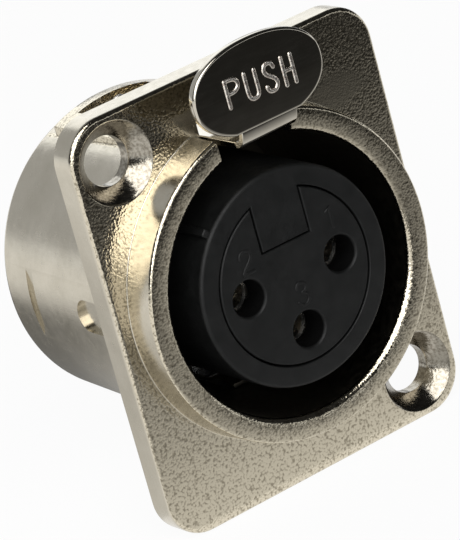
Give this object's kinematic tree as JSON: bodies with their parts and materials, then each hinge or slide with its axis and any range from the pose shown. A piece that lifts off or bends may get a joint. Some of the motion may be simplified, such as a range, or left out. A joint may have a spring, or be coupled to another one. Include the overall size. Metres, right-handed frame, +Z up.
{
  "type": "xlr panel socket",
  "caption": "Round three-pole panel socket: oblong flange, raised collar, keyed insert with socket contacts, and a push latch on top.",
  "frame": {"origin": "on the bore's axis, at the flange's rear face, which lies against the panel", "axes": "+Y into the socket, away from its user; +Z up, towards the latch; +X right, seen from the front"},
  "size_m": [0.026, 0.0267, 0.0334],
  "materials": {
    "nickel_casting": "satin nickel on a cast grain",
    "bright_nickel": "bright nickel",
    "spring_steel": "drawn wire",
    "black_nylon": "matte moulded",
    "black_nylon_core": "matte moulded",
    "silver_plate": "silver plated",
    "phosphated_steel": "dark phosphate",
    "tinned_brass": "tinned"
  },
  "bodies": {
    "housing": {"housing": "nickel_casting", "latch_spring": "spring_steel", "insert_sleeve": "black_nylon", "insert_core": "black_nylon_core", "contact_1": "silver_plate", "contact_2": "silver_plate", "contact_3": "silver_plate", "retaining_ring": "phosphated_steel", "ground_contact": "tinned_brass"},
    "latch": {"latch": "bright_nickel"}
  },
  "joints": [
    {"name": "latch_push", "type": "slide", "parent": "housing", "child": "latch", "axis": [0, 0.8192, 0.5736], "range_m": [0, 0.00122], "stiffness_N_per_m": 400, "springref_m": -0.003, "deforming": ["latch_spring"]}
  ]
}
